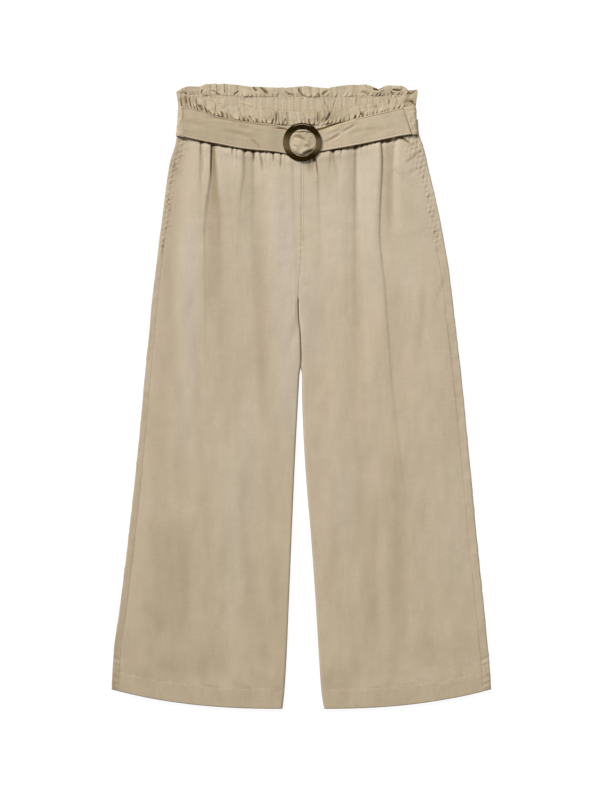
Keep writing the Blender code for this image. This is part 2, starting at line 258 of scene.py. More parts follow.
BELT_CREASES = rows(
    Crease,
    (-15, 866.6, -42, 870.5, -2.2, -2.1, 1.2),
    (-150, 888, -34, 869, 3, -0.7, 2.6),
    (-124, 868, -58, 854, 1, -0.7, 3),
    (-78, 857, -58, 837, 1, -1, 2.2),
    (-106, 882, -72, 868, -1, -0.8, 4.5),
    (4, 862.5, 92, 889, 0.8, -3.2, 1.4),
    (6, 861, 54, 877, 0.6, -1.6, 2.4),
    (24, 863, 66, 877, -2, 0.7, 2.5),
    (27, 850, 62, 866, -3, -1.4, 2),
    (58, 864, 84, 879, -1, -0.9, 2),
    (70, 862, 122, 872, 1, -0.5, 3),
    (-178, 882, -140, 873, 0.5, -0.5, 3),
    (-182, 870, -150, 866, 0.5, 0.4, 3),
    (84, 856, 150, 876, 1, -0.4, 4),
    (-16, 864.6, 18, 864.6, 0.8, -2.4, 1.1),
    (-15, 858, 8, 852, 1.5, -1.1, 1.8),
    (-6, 862, 13, 848, -1, -1, 2),
    (-14, 846, -2, 838, 1, -1, 2),
    (4, 846, 16, 838, 1, -1.2, 1.8),
    (0, 831, 22, 840, 0.5, -3, 1.7),
)
# Soft bands of painted shade on the fronts, where hollows and panels turned from the light are darker, and
# of painted light, paler and bluer, where depth is negative, from end to end
Shade = namedtuple("Shade", "x0 height0 x1 height1 half_width depth")
FRONT_SHADES = rows(
    Shade,
    (-132.5, 860, -132, 740, 5, 0.5),
    (-133, 790, -139, 560, 13, 0.3),
    (-116, 830, -124, 440, 26, 0.3),
    (-80, 850, -86, 680, 9, 0.3),
    (-66, 830, -56, 420, 11, 0.34),
    (-184, 876, -206, 590, 15, 0.42),
    (-198, 700, -213, 290, 16, 0.28),
    (-144, 300, -150, 60, 11, 0.08),
    (28, 850, 30, 760, 13, 0.22),
    (11.5, 846, 11.5, 796, 5, 0.7),
    (48, 850, 49, 790, 8, 0.2),
    (74, 856, 76, 730, 7, 0.3),
    (88, 800, 94, 90, 8, 0.1),
    (129, 862, 130, 680, 7, 0.5),
    (140, 420, 150, 60, 14, 0.34),
    (140, 730, 134, 560, 12, 0.14),
    (-192, 300, -204, 30, 30, 0.34),
    (-42, 260, -36, 20, 13, 0.2),
    (-58, 560, -52, 400, 9, 0.12),
    (98, 340, 112, 20, 26, 0.12),
    (-168, 760, -180, 300, 20, -0.22),
    (-30, 800, -18, 330, 20, -0.26),
    (14, 680, 22, 480, 16, -0.16),
    (100, 850, 106, 540, 14, -0.12),
    (222, 420, 232, 90, 18, -0.1),
    (178, 850, 186, 680, 12, -0.1),
    (-84, 480, -82, 240, 13, -0.16),
    (-4, 650, -2, 510, 14, -0.16),
    (-222, 680, -228, 520, 11, 0.14),
    (-108, 420, -106, 60, 13, -0.14),
    (62, 380, 60, 200, 14, -0.14),
)
# The pits where folds come out from under the belt: x, half width and how much they widen the groove and
# painted shadow at its foot
BELT_PITS = (
    *((-151, 2, 0.9), (-134, 3, 1.5), (-112, 2, 0.6), (-86, 3, 1.2), (-73, 2.5, 1.1)),
    *((-58, 2, 0.6), (-43, 2.5, 0.8), (-30, 2, 0.7), (-15, 2.5, 0.8), (20, 3, 1.0)),
    *((47, 2.5, 1.2), (80.5, 2.5, 1.6), (121, 2, 1.1), (130.5, 5.5, 2.2), (141, 1.5, 1.0)),
)
# Creases in the frills and in the band behind the opening
BACK_FRILL_CREASES = rows(
    Crease,
    (-75, 937, -65, 925, 0.5, -2.2, 1.5),
    (-65, 935, -48, 920, 1, -2.4, 1.8),
    (-58, 937, -53, 926, 0, 1.2, 2.2),
    (-130, 925, -119, 920, 0.5, -1.4, 1.3),
    (-102, 921, -93, 928, 0.5, -1.3, 1.3),
    (-150, 923, -145, 930, 0.5, -1.5, 1.2),
    (-136, 929, -122, 922, 0.5, -1.3, 1.3),
    (-25, 927, -10, 919, 0.5, -1.5, 1.4),
    (-4, 934, 9, 918, -3.5, -2, 1.5),
    (25, 925, 28, 917, 0, -1.6, 1.2),
    (32, 920, 40, 929, 0.5, -1.5, 1.5),
    (86, 927, 104, 921, 0.5, -1.5, 2),
    (108, 932, 120, 930, -1.5, -2.6, 1.7),
    (117, 929, 126, 936, 0, -1.8, 1.4),
    (137, 929.5, 150, 928, 0, -2, 1.3),
    (133, 928, 139, 921, 0, -2, 1.4),
    (158, 930, 166, 918, 1, -1.4, 1.6),
    (-173, 925, -174, 912, 0, -1.8, 1.4),
    (-184, 920, -176, 906, 0.5, -1.8, 1.4),
)
FRONT_FRILL_CREASES = rows(
    Crease,
    (-179, 919, -178, 903, 0.6, -1.5, 1.1),
    (-174, 921, -171, 905, 0.4, -1.3, 1),
    (-168, 919, -165, 902, 0.3, -1.4, 1.2),
    (-160, 914, -150, 901, 0.5, -1.4, 1.2),
    (-152, 907, -146.5, 897, 0.4, -1.4, 1),
    (-146, 904, -140.5, 893, 0.4, -1.5, 1),
    (-140, 900, -134, 890, 0.4, -1.3, 1),
    (-121, 897, -114, 886.5, 0.5, -1.5, 1),
    (-114, 895, -108, 885, 0.4, -1.3, 0.9),
    (-107, 892, -102, 884, 0.3, -1.2, 0.9),
    (-85, 890, -79, 880, 0.4, -1.3, 0.9),
    (-79, 891, -73.5, 879, 0.4, -1.5, 1),
    (-67, 887, -62, 878, 0.3, -1.2, 0.9),
    (96, 907, 118, 909.5, 1.5, -0.9, 1.8),
    (88, 894, 93, 892, 0, -2.6, 2),
    (-37.2, 896, -38, 877, 0.3, -1.3, 0.8),
    (-41, 887, -45.5, 877, 0.4, -1.3, 0.9),
    (-23.5, 887, -26, 877, 0.3, -1.1, 0.8),
    (24, 897, 23, 877, 0.2, -1.2, 0.8),
    (43.5, 896, 34, 878, 0.8, -1.5, 1.3),
    (12.5, 886, 9.5, 877.5, 0.3, -1.2, 0.9),
    (31.5, 888, 30, 878, 0.2, -0.9, 0.8),
    (133.5, 917, 133, 904, 0, -1.3, 0.9),
    (149, 907, 168, 911, 1.5, -0.8, 2.8),
    (163, 913, 171, 905, 0, -2, 1.4),
)
BACK_BAND_CREASES = rows(
    Crease,
    (33, 916, 42, 896, 0, -1.1, 0.9),
    (51, 916, 46, 897, 0, -1, 0.9),
    (82.5, 919, 82, 906, 0, -1, 1),
    (-96, 912, -70, 905, 0, 0.6, 1.6),
)
# Where each frill tips forward and is painted darker as shade: x, half width and how far it rises, which
# also sets the painted shade
BACK_FRILL_SHADED = ((-176, 9, 1.4), (120, 12, 1.2), (168, 9, 1.5))
FRONT_FRILL_SHADED = ((-173, 14, 2.0), (-40, 13, 2.0), (34, 26, 2.2), (162, 12, 2.2))
BACK_CREASES = rows(
    Crease,
    (-120, 820, -140, 420, 8, 0.7, 9),
    (-60, 800, -48, 300, -6, 0.7, 10),
    (70, 810, 96, 260, -8, 0.7, 10),
    (132, 790, 170, 330, 5, 0.6, 9),
    (-190, 360, -150, 120, 6, 0.5, 11),
    (40, 420, 60, 120, 4, 0.5, 10),
)


def mix(a, b, share):
    return a + (b - a) * share


def ease(share):
    share = np.clip(share, 0, 1)
    return share * share * (3 - 2 * share)


def bell(t):
    return np.exp(-t * t)


def cleft(aside, width):
    """A crease whose -x side drops sharply and whose +x side rises gently, 1 deep."""
    return bell(aside / np.where(aside < 0, width, 2.4 * width))


def rounded(inward, radius):
    """0 at an edge and 1 from radius inwards, turning over like the side of a roll."""
    left = 1 - np.clip(inward / radius, 0, 1)
    return np.sqrt(1 - left * left)


def curve(points, reach):
    """The smooth line through points of (place, value), which never overshoots them."""
    at, value = np.array(sorted(points), float).T
    pitch = np.diff(value) / np.diff(at)
    same_way = pitch[1:] * pitch[:-1] > 0
    total = np.where(same_way, pitch[1:] + pitch[:-1], 1)
    inner = np.where(same_way, 2 * pitch[1:] * pitch[:-1] / total, 0)
    slope = np.concatenate([pitch[:1], inner, pitch[-1:]])
    k = np.clip(np.searchsorted(at, reach) - 1, 0, len(at) - 2)
    span = at[k + 1] - at[k]
    s = np.clip((reach - at[k]) / span, 0, 1)
    start = value[k] * (1 + 2 * s) * (1 - s) ** 2 + slope[k] * span * s * (1 - s) ** 2
    end = value[k + 1] * s * s * (3 - 2 * s) + slope[k + 1] * span * s * s * (s - 1)
    return start + end


def read(table, column, at):
    """A column of a table for any values of its first column."""
    return curve([(row[0], getattr(row, column)) for row in table], at)


def rumple(x, y, size, seed, octaves=3):
    """Soft uneven hills about size across, mostly between -1 and 1."""
    draw = np.random.default_rng(seed)
    total = 0
    for octave in range(octaves):
        for _ in range(6):
            angle, phase = draw.uniform(0, 2 * math.pi, 2)
            turn = 2 * math.pi * 2**octave / (size * draw.uniform(0.8, 1.7))
            total = total + 0.5**octave * np.sin(turn * (x * math.cos(angle) + y * math.sin(angle)) + phase)
    return total / 3.2


def waver(x, size, seed):
    """The same along one line."""
    return rumple(x, 0 * x, size, seed)


def waves(turns):
    """Round hills and hollows, from 0 to 1."""
    return 0.5 - 0.5 * np.cos(2 * math.pi * turns)


# Lines and gathers that several pieces share


def waist_share(x):
    return np.clip((x - WAIST_CENTRE) / WAIST_HALF, -1.03, 1.03)


def sink(x):
    return 1 - waist_share(x) ** 2


def hem_line(x):
    share = np.maximum(0, (np.abs(x) - 33) / 252)
    return 0.5 + 29 * share**2.3


def front_seam(x):
    return FRONT_SEAM - DIP * sink(x)


def front_stitch(x):
    return FRONT_STITCH - DIP * sink(x)


def back_stitch(x):
    return BACK_STITCH + BACK_RISE * waist_share(x) ** 2


def belt_foot(x):
    return read(BELT_COURSE, "foot", x)


def belt_head(x):
    return read(BELT_COURSE, "head", x)


def lobes(turns):
    """Rounded tops with sharp valleys between them, from 0 to 1."""
    return np.sqrt(np.abs(np.sin(math.pi * turns)))


def gather_turns(x, pitch, seed):
    """How many gathers there are from x = 0, unevenly spaced."""
    return x / pitch + 0.35 * waver(x, pitch * 5, seed) + 0.12 * waver(x, pitch * 2, seed + 1)


# How the cloth folds

REACH_BEFORE = 34  # how far the cloth still stands up before a leg's first fold and beyond its last
REACH_BEYOND = 30
CLOSEST_FOLDS = 2.5


def follow(fold, height):
    """How far down a fold a height is, 0 at its head and 1 at its foot, and where the fold runs there."""
    head, foot = fold.course[0][0], fold.course[-1][0]
    return (head - height) / (head - foot), curve(fold.course, np.clip(height, foot, head))


def pleats(folds, x, height):
    """Cloth in nearly flat panels, tilted from one crease to the next, and the shade painted into each
    crease.
    """
    lift, painted_shade = np.zeros_like(x), np.zeros_like(x)
    line_before = None
    for fold in folds:
        down, line = follow(fold, height)
        down = np.clip(down, 0, 1)
        fade = ease(down / fold.rise) * mix(1, 0.45, ease(1.4 * down)) * ease((1 - down) / 0.35)
        if line_before is None:
            panel = fold.before * fade * ease(1 - (line - x) / REACH_BEFORE)
        else:
            line = np.maximum(line, line_before + CLOSEST_FOLDS)
            share = np.clip((x - line_before) / (line - line_before), 0, 1)
            panel = mix(after_before, fold.before * fade, share)
            panel = mix(lift, panel, ease((x - line_before) / width_before + centred))
        lift = panel
        line_before, after_before = line, fold.after * fade
        # A step down is sharp, and a step up rises gently over the next panel
        spread, centred = (5.5, 0.1) if fold.after > fold.before else (1, 0.5)
        width_before = spread * mix(fold.width_head, 0.5 * (fold.width_head + fold.width_foot), down**0.8)
    beyond = after_before * ease(1 - (x - line_before) / REACH_BEYOND)
    lift = mix(lift, beyond, ease((x - line_before) / width_before + centred))
    for fold in folds:
        down, line = follow(fold, height)
        kept = np.clip(down, 0, 1)
        fade = (down > 0) * (down < 1) * ease(down / fold.rise) * (1 - kept) ** 1.2
        aside = x - line
        width = mix(fold.width_head, fold.width_foot, kept**0.8)
        lift -= fold.groove * fade * cleft(aside, width)
        # Painted shade along the crease, strongest where it is narrow
        painted_shade += fold.groove * fade * bell(aside / (0.9 * width)) / (1 + 0.25 * width**2)
    return lift, painted_shade


def creases(table, x, height):
    """The lift of each crease in a table, and the shade painted into its grooves."""
    lift, painted_shade = np.zeros_like(x), np.zeros_like(x)
    for crease in table:
        run = Vector((crease.x1 - crease.x0, crease.height1 - crease.height0))
        length = run.length
        way = run / length
        along = ((x - crease.x0) * way.x + (height - crease.height0) * way.y) / length
        aside = -(x - crease.x0) * way.y + (height - crease.height0) * way.x
        aside = np.abs(aside - crease.bow * 4 * along * (1 - along))
        fade = ease(along / 0.25) * ease((1 - along) / 0.35)
        bank = bell((aside / crease.width - 2.1) / 0.9)
        lift += crease.depth * fade * (bell(aside / crease.width) - 0.22 * bank)
        shade = bell(aside / (0.9 * crease.width)) / (1 + 0.25 * crease.width**2)
        # Painted shade along each groove
        painted_shade += np.maximum(0, -crease.depth) * fade * shade
    return lift, painted_shade


def shades(table, x, height):
    """How dark soft bands of painted shade leave the cloth, and how pale bands of painted light leave it
    where depth is negative.
    """
    dark = np.zeros_like(x)
    for shade in table:
        along = np.clip((shade.height0 - height) / (shade.height0 - shade.height1), 0, 1)
        aside = (x - mix(shade.x0, shade.x1, along)) / shade.half_width
        dark += shade.depth * bell(aside) * ease(along / 0.15) * ease((1 - along) / 0.4)
    return dark


def side_inset(x, height):
    """How far in from the side seam its stitching runs."""
    return np.where(x < 0, mix(10.5, 8.0, ease(height / 700)), 12.6)


def side_puckers(x, height, inward):
    """Crinkles along the side stitching, fine beside the pocket and soft below it, and the shade painted
    into their hollows and along the stitching's line.
    """
    aside = inward - side_inset(x, height)
    pocket = ease((height - POCKET_FOOT) / 20)
    hip = ease((height - 800) / 30)
    reach = mix(6.0, np.where(x < 0, 11, 15), hip) * (0.85 + 0.35 * waver(height, 30, 32))
    uneven = np.clip(0.95 + 0.5 * rumple(x, height, 20, 36), 0.35, 1.6)
    close = pocket * uneven * bell((aside + 1.5) / reach)
    grain = np.clip(1.7 * rumple(x + 0.5 * height, height, 3.8, 31, octaves=1), -1, 1)
    ripples = 0.6 * (1 - 0.7 * pocket) * waver(height + 0.4 * aside, 16, 33) * ease((1 - aside) / 3)
    line = (1 - pocket) * bell(aside / 1.0)
    lift = 0.15 * close - 0.6 * close * grain + ripples - 0.14 * line
    # Painted shade in the crinkles' hollows, the ripples' troughs and along the stitching's line
    return lift, 0.6 * close * np.maximum(0, grain) + 0.25 * np.maximum(0, -ripples) + 0.11 * line


def hem_puckers(x, above_hem):
    aside = above_hem - HEM_DEPTH
    crinkle = rumple(x + 0.4 * aside, 0.3 * aside, 11, 41) * (0.8 + 0.6 * waver(x, 60, 42))
    return 0.3 * crinkle * bell(aside / 6) - 0.12 * bell(aside / 1.2)


def belt_gathers(x, height):
    """The small gathers that come out from under the belt, the roll of cloth they stand on, and the shadow
    painted along the belt's foot and shade painted between the gathers.
    """
    below = belt_foot(x) - height
    reach = 6 + 13 * np.maximum(0, waver(x, 24, 52))
    turns = gather_turns(x, 8.5, 51)
    within = ease((x + 168) / 14)
    strength = (0.8 + 0.9 * waver(x, 33, 53)) * np.exp(-np.maximum(0, below) / reach)
    strength = strength * mix(0.3, 1, within)
    pits = 0.55 + 0.4 * waver(x, 12, 54)
    for middle, half_width, wider in BELT_PITS:
        pits = pits + wider * bell((x - middle) / half_width)
    # The groove along the belt's foot is sunk into the cloth and also painted dark as the belt's shadow
    groove = bell((below - 0.9) / (1.7 * np.maximum(0.45, pits))) * mix(0.25, 1, within)
    lift = 1.8 * (lobes(turns) - 0.8) * strength + 0.8 * bell((below - 9) / 6) - 3.0 * groove
    return lift, 2.3 * groove + 1.4 * strength * (1 - lobes(turns)) ** 2


def front_shape(x, height):
    """Height of the front's face off the floor, and the shade and light painted on it."""
    outer = np.where(x < 0, read(SECTIONS, "right_outer", height), read(SECTIONS, "left_outer", height))
    right_inner, left_inner = read(SECTIONS, "right_inner", height), read(SECTIONS, "left_inner", height)
    on_right = x < (right_inner + left_inner) / 2
    inward = np.maximum(0, np.abs(outer) - np.abs(x))
    from_middle = np.maximum(0, np.where(on_right, right_inner - x, x - left_inner))
    above_hem = height - hem_line(x)
    in_hem = ease((HEM_DEPTH + 2 - above_hem) / 4)

    on_legs = zip(pleats(RIGHT_FOLDS, x, height), pleats(LEFT_FOLDS, x, height))
    folds = [np.where(on_right, *pair) for pair in on_legs]
    short = creases(FRONT_CREASES, x, height)
    gathers = belt_gathers(x, height)
    # Painted shade in the grooves of the folds and creases, and under the belt
    painted_shade = folds[1] + short[1] + gathers[1]
    body = folds[0] + short[0] + 0.3 * rumple(x, height, 90, 61) + 0.08 * rumple(x, height, 26, 62)
    body += 0.75 * rumple(x, 0.18 * height, 62, 63) * ease((760 - height) / 200)
    lift = read(FRONT_LEVELS, "lift", height)
    lift += body * ease(inward / 16) * ease(above_hem / 70) + gathers[0] * ease(inward / 8)
    pressed = mix(SIDE_LIFT, HIP_SIDE_LIFT, ease((height - 790) / 60))
    lift = mix(pressed, lift, ease(inward / 55))
    puckers = side_puckers(x, height, inward)
    lift += puckers[0] * ease(inward / 2)
    lift += hem_puckers(x, above_hem) + 0.35 * in_hem * rounded(above_hem, 2.5)

    seam = ease((height - CROTCH) / 6)
    middle_pucker = 0.16 * waver(height, 8, 71)
    stitched = 0.2 * ease((height - 690) / 30) * bell(from_middle / 1.8)
    lift += seam * (middle_pucker * bell(from_middle / 4) - stitched)
    open_edge = mix(rounded(from_middle + 0.02, 3.2), 1, seam)
    # The slit between the legs is painted as a dark line of shadow
    slit_shadow = (1 - seam) * ease((height - SLIT_FOOT) / 8) * mix(1.3, 0.5, ease((height - 512) / 90))
    slit_shadow = slit_shadow * bell(from_middle / 1.0)
    slit_shadow = slit_shadow * (0.85 + 0.5 * waver(height, 40, 72)) * (1 - 0.6 * bell((height - 553) / 7))

    lift = EDGE_LIFT + (lift - EDGE_LIFT) * rounded(inward + 0.02, EDGE_LIFT) * open_edge
    under_belt = height > belt_foot(x) - 1
    under_ring = 2.1 * bell((np.abs(x) - RIM_X) / 14)
    lift = np.where(under_belt, np.minimum(lift, BELT_TOP - BELT_WALL - GAP - under_ring), lift)
    patchy = np.maximum(0, rumple(x, height, 30, 44))
    above_fold = bell((above_hem - HEM_DEPTH - 2.5) / 2.5)
    # Painted darker in the hems, in patches, most near their outer corners, and in patches just above their
    # fold
    painted_shade += in_hem * (0.1 + 0.1 * patchy + 0.2 * bell((inward - 3) / 4)) + 0.3 * patchy**2 * above_fold
    # Painted shade in the side crinkles and the slit, painted shade along the -x outer edge where it faces
    # the light, and darker in the strip outside the -x side stitching low down
    strip = (x < 0) * ease((side_inset(x, height) - inward) / 1.5) * ease((500 - height) / 200)
    painted_shade += puckers[1] + 0.16 * (x < 0) * bell(inward / 2.2) + 0.2 * strip + slit_shadow
    # Painted darker towards the hems, unevenly
    low_down = ease((125 - above_hem) / 80) * ease((above_hem - HEM_DEPTH + 6) / 12)
    painted_shade += low_down * (0.09 + 0.14 * rumple(x, height, 70, 45))
    # Soft bands of painted shade, and of painted light where negative
    painted_shade += shades(FRONT_SHADES, x, height)
    return lift, painted_shade


def back_lift(x, height):
    """Height of the back's upper face. It lies on the floor as far as the belt, which passes beneath it."""
    over_belt = 1.9 * ease((height - 834) / 22)
    lift = over_belt + np.maximum(0, creases(BACK_CREASES, x, height)[0]) * ease((height - 40) / 60)
    lift += np.maximum(0, 0.18 * rumple(x, height, 70, 81)) * ease((height - 40) / 60)
    lift += 1.3 * waves(gather_turns(x, 12, 82)) * ease((height - 848) / 26)
    in_hem = ease((HEM_DEPTH + 2 - (height - hem_line(x))) / 4)
    return lift + WALL + 0.5 * in_hem


# Making and finishing pieces

# How a sheet's rows or columns are spaced: a share of them, and how much of the cloth they have reached
EVEN = ((0, 0), (1, 1))
CLOSE_AT_ENDS = ((0, 0), (0.16, 0.066), (0.5, 0.79), (1, 1))
BELT_ROWS = ((0, 0), (0.1, 0.03), (0.9, 0.97), (1, 1))


def begin(name, primitive, **settings):
    """A new primitive, the only thing selected."""
    bpy.ops.object.select_all(action="DESELECT")
    primitive(**settings)
    bpy.context.object.name = name
    return bpy.context.object


def settle():
    bpy.ops.object.transform_apply(location=True, rotation=True, scale=True)


def edit(on):
    bpy.ops.object.mode_set(mode="EDIT" if on else "OBJECT")


def select_parts(action):
    bpy.ops.mesh.select_all(action=action)


def place(x, height, lift):
    return np.stack([x * MM, (height - LENGTH / 2) * MM, lift * MM], axis=1)


def cloth_piece(name, columns, lines, lay, cut, wall, cloth, nodes, paces=(EVEN, EVEN)):
    """A sheet of cloth, cut to a flat size and laid by lay(across, along), with its wall below its face and
    any shade that lay paints into its colour.
    """
    size = {"x_subdivisions": columns, "y_subdivisions": lines, "size": 1}
    piece = begin(name, bpy.ops.mesh.primitive_grid_add, **size)
    mesh = piece.data
    flat = np.empty(3 * len(mesh.vertices))
    mesh.vertices.foreach_get("co", flat)
    across, along = (np.interp(flat[k::3] + 0.5, *np.transpose(pace)) for k, pace in enumerate(paces))
    x, height, lift, *painted_shade = lay(across, along)
    mesh.vertices.foreach_set("co", place(x, height, lift).ravel())
    # Painted shade, and painted light where it is below plain, kept per vertex to tint the cloth's colour
    depth = mesh.attributes.new("painted_light_and_shade", "FLOAT", "POINT")
    shade = (painted_shade[0] if painted_shade else 0 * x) / DEEPEST_SHADE + PLAIN_SHADE
    depth.data.foreach_set("value", np.clip(shade, 0, 1).astype(np.float32))
    corners = np.empty(len(mesh.loops), dtype=np.int32)
    mesh.loops.foreach_get("vertex_index", corners)
    on_cut = np.stack([across[corners] * cut[0] * MM, along[corners] * cut[1] * MM], axis=1)
    mesh.uv_layers.active.data.foreach_set("uv", on_cut.ravel())
    mesh.update()
    thicker = piece.modifiers.new("wall", "SOLIDIFY")
    thicker.thickness = wall * MM
    thicker.offset = -1
    bpy.ops.object.modifier_apply(modifier="wall")
    bpy.ops.object.shade_smooth()
    mesh.materials.append(cloth)
    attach(piece, "root")
    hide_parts(*nodes)
    return piece


# Pieces


def panel_place(side, head_at, across, along):
    """x and height on a leg panel."""
    outward = across if side == "left" else 1 - across
    height = along * head_at(0 * across)
    for _ in range(4):
        inner, outer = read(SECTIONS, side + "_inner", height), read(SECTIONS, side + "_outer", height)
        x = mix(inner, outer, outward)
        height = mix(hem_line(x), head_at(x), along)
    return x, height


def make_fronts(cloth):
    for side in ("right", "left"):

        def lay(across, along):
            x, height = panel_place(side, front_seam, across, along)
            lift, painted_shade = front_shape(x, height)
            wander = 0.35 * waver(height, 16, 91) * ease((np.abs(x) - 150) / 40)
            return x + wander, height, lift, painted_shade

        name, node, paces = side + "_front", "front_" + side, (EVEN, CLOSE_AT_ENDS)
        piece = cloth_piece(name, 186, 262, lay, (305, 900), WALL, cloth, (node,), paces)


def make_backs(cloth):
    for side in ("right", "left"):

        def lay(across, along):
            x, height = panel_place(side, lambda at: BACK_SEAM + 0 * at, across, along)
            return x, height, back_lift(x, height)

        piece = cloth_piece(side + "_back", 70, 220, lay, (315, 930), WALL, cloth, ("back_" + side,))


def waist_x(across, past):
    return WAIST_CENTRE + (2 * across - 1) * (WAIST_HALF + past)


def make_bands(cloth):
    def back_band(across, along):
        x = waist_x(across, 0)
        height = mix(BACK_SEAM + 0 * x, back_stitch(x), along)
        narrow = waves(gather_turns(x, 5.2, 101))
        wide = waves(gather_turns(x, 11.0, 104))
        strength = 0.55 + 0.6 * waver(x, 26, 102)
        seams = bell((height - back_stitch(x) + 1) / 1.0)
        lift = 3.6 + 0.42 * strength * narrow**0.7 + 0.4 * wide - 0.1 * seams
        lift = lift + 0.25 * rumple(x, height, 40, 103)
        folded, painted_shade = creases(BACK_BAND_CREASES, x, height)
        # Painted shade in the valleys of the narrow gathers
        return x, height, lift + folded, painted_shade + 0.14 * strength * (1 - narrow) ** 3

    def front_band(across, along):
        x = waist_x(across, 0)
        height = mix(front_seam(x), front_stitch(x), along)
        held = bell((front_stitch(x) - height) / 2.5)
        lift = 6.2 + 1.2 * mix(waves(gather_turns(x, 6.5, 111)), 0.35, held)
        return x, height, lift

    piece = cloth_piece("back_band", 420, 30, back_band, (440, 36), WALL, cloth, ("waistband_back",))
    piece = cloth_piece("front_band", 300, 14, front_band, (440, 36), WALL, cloth, ("waistband_front",))


def frill_lay(foot_at, top_at, seen_from, bed, seed, table, gather, painted_pit_shade, shaded):
    """A gathered heading: short lobes with sharp valleys at its stitching, opening into a few that lean.

    seen_from is the height at which it comes out from under the belt, and shaded is where the heading tips
    forward and is painted darker as shade, as (x, half width, rise). The argument after gather sets how
    much shade is painted into the valleys at its stitching.
    """

    def lay(across, along):
        x = waist_x(across, mix(FRILL_FOOT_PAST, FRILL_TOP_PAST, along))
        foot, top = foot_at(x), top_at(x)
        loose = gather_turns(x, 17, seed + 2) + 0.16 * along
        open_up = ease(along * 1.9)
        leaning = x - 11 * waist_share(x) * along
        fine = gather_turns(leaning, 6.6, seed) + 0.3 * along * waver(x, 20, seed + 3)
        strength = 0.85 + 0.6 * waver(x, 24, seed + 4)
        out = np.maximum(0, mix(foot, top, along) - seen_from(x)) / 20
        lift = gather * strength * lobes(fine) * (1 - 0.94 * ease(out * 2.3))
        lift = lift + 1.7 * lobes(loose) * (0.15 + 0.85 * open_up)
        lift += 0.5 * rumple(x, 0.6 * foot + along * 12, 22, seed + 5)
        dark = 0
        for middle, half_width, rise in shaded:
            tipped = bell((x - middle) / half_width) * ease(along * 1.4)
            lift += rise * tipped
            # Painted shade where the heading tips forward
            dark = dark + rise * tipped * (0.13 + 0.4 * (1 - lobes(fine)) ** 1.4)
        aside = 3.2 * waver(x, 30, seed + 6) * open_up * np.sin(2 * math.pi * loose)
        aside = aside * ease((1 - np.abs(2 * across - 1)) / 0.08)
        height = mix(foot, top, along)
        folded, painted_shade = creases(table, x, height)
        # Painted shade in the valleys at the stitching and between the loose gathers
        pits = strength * (1 - lobes(fine)) ** 1.2 * (1 - ease(out * 2.1)) * ease(along / 0.05)
        painted_shade += painted_pit_shade * pits + 0.3 * (1 - lobes(loose)) ** 3 + dark
        lift = np.maximum(-0.6, lift + folded) * mix(0.15, 1, ease(along / 0.1))
        return x + aside, height, bed + lift, painted_shade

    return lay


def make_frills(cloth):
    def back_foot(x):
        return back_stitch(x) - 0.7

    def back_top(x):
        return curve(FRILL_TOP, x) + 0.35 * waver(x, 14, 121)

    def front_foot(x):
        return front_stitch(x) - 1.0

    def above_belt(x):
        return np.maximum(front_foot(x), belt_head(x))

    def front_top(x):
        return FRONT_TOP - DIP * sink(x) + 0.9 * waver(x, 30, 131)

    folds = BACK_FRILL_CREASES
    lay = frill_lay(back_foot, back_top, back_foot, 2.9, 140, folds, 1.5, 1.5, BACK_FRILL_SHADED)
    piece = cloth_piece("back_frill", 620, 30, lay, (440, 21), FRILL_WALL, cloth, ("frill_back",))
    folds = FRONT_FRILL_CREASES
    lay = frill_lay(front_foot, front_top, above_belt, 6.6, 160, folds, 2.6, 2.9, FRONT_FRILL_SHADED)
    piece = cloth_piece("front_frill", 620, 30, lay, (440, 21), FRILL_WALL, cloth, ("frill_front",))


def belt_track(run, radius):
    """x, lift and the way out, going run millimetres along a strip from its end under the right side."""
    tuck = BELT_TUCK
    right, left = WAIST_CENTRE - WAIST_HALF, WAIST_CENTRE + WAIST_HALF
    turn, flat = math.pi * radius, left - right
    past_right = np.clip(run - tuck, 0, turn) / radius
    past_left = np.clip(run - tuck - turn - flat, 0, turn) / radius
    across = np.clip(run - tuck - turn, 0, flat)
    start, end = np.clip(run, 0, tuck), np.clip(run - tuck - 2 * turn - flat, 0, tuck)
    angle = -math.pi / 2 - past_right - past_left
    x = right + tuck - start + across - end + radius * np.cos(angle)
    lift = radius + radius * np.sin(angle)
    return x, lift, np.cos(angle), np.sin(angle)


